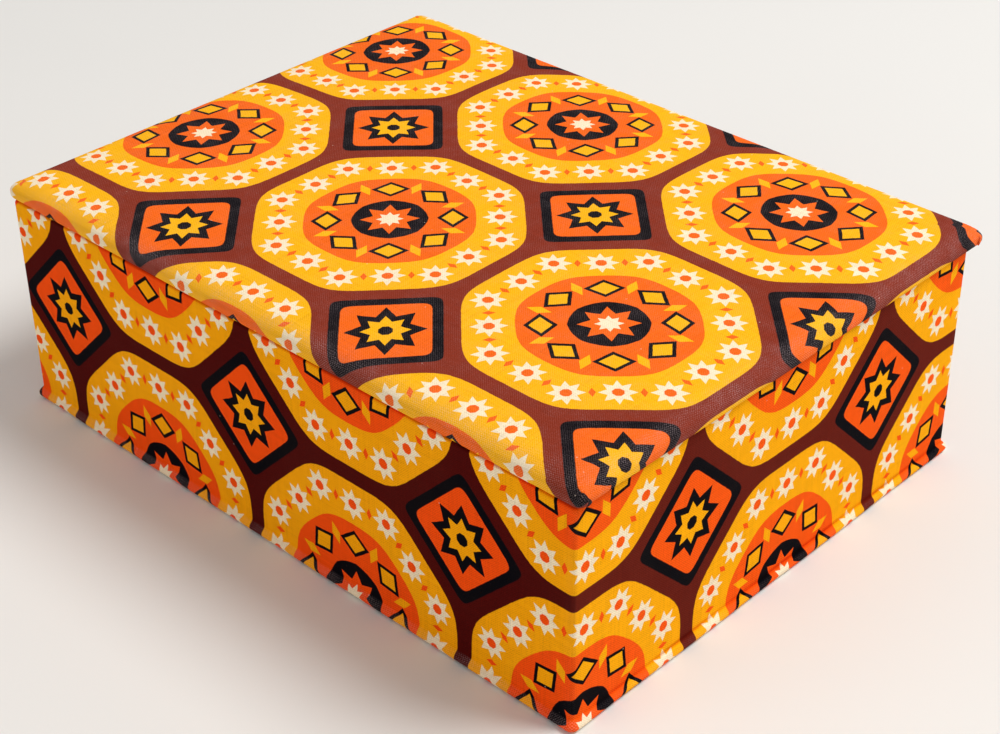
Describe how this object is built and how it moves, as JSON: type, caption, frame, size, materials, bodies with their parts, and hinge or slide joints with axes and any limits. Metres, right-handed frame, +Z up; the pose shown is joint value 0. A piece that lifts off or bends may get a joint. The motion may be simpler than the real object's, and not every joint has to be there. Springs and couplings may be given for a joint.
{
  "type": "keepsake box",
  "caption": "Rectangular board box covered in printed cotton, with a padded lid on a cloth hinge along its long back edge and a lip round its base.",
  "frame": {"origin": "middle of the underside, on the surface that the box stands on", "axes": "+Z up, +X along the length, -Y the front; the lid is hinged along the back, on +Y"},
  "size_m": [0.3096, 0.2362, 0.1058],
  "materials": {
    "printed_cotton": "plain-weave printed cotton, matt",
    "greyboard": "raw greyboard",
    "wadding": "soft cotton wadding",
    "lining_paper": "matt laid paper on card",
    "base_paper": "matt paper on card"
  },
  "bodies": {
    "box": {"base_board": "greyboard", "base_panel": "base_paper", "front_wall": "greyboard", "back_wall": "greyboard", "left_wall": "greyboard", "right_wall": "greyboard", "wall_cloth": "printed_cotton", "front_lining": "lining_paper", "back_lining": "lining_paper", "left_lining": "lining_paper", "right_lining": "lining_paper", "floor_lining": "lining_paper", "hinge_cloth": "printed_cotton"},
    "lid": {"lid_board": "greyboard", "lid_padding": "wadding", "lid_cloth": "printed_cotton", "lid_lining": "lining_paper"}
  },
  "joints": [
    {"name": "lid_hinge", "type": "hinge", "parent": "box", "child": "lid", "pos_m": [0, 0.11385, 0.095], "axis": [-1, 0, 0], "range_deg": [0, 90], "deforming": ["hinge_cloth"]}
  ]
}
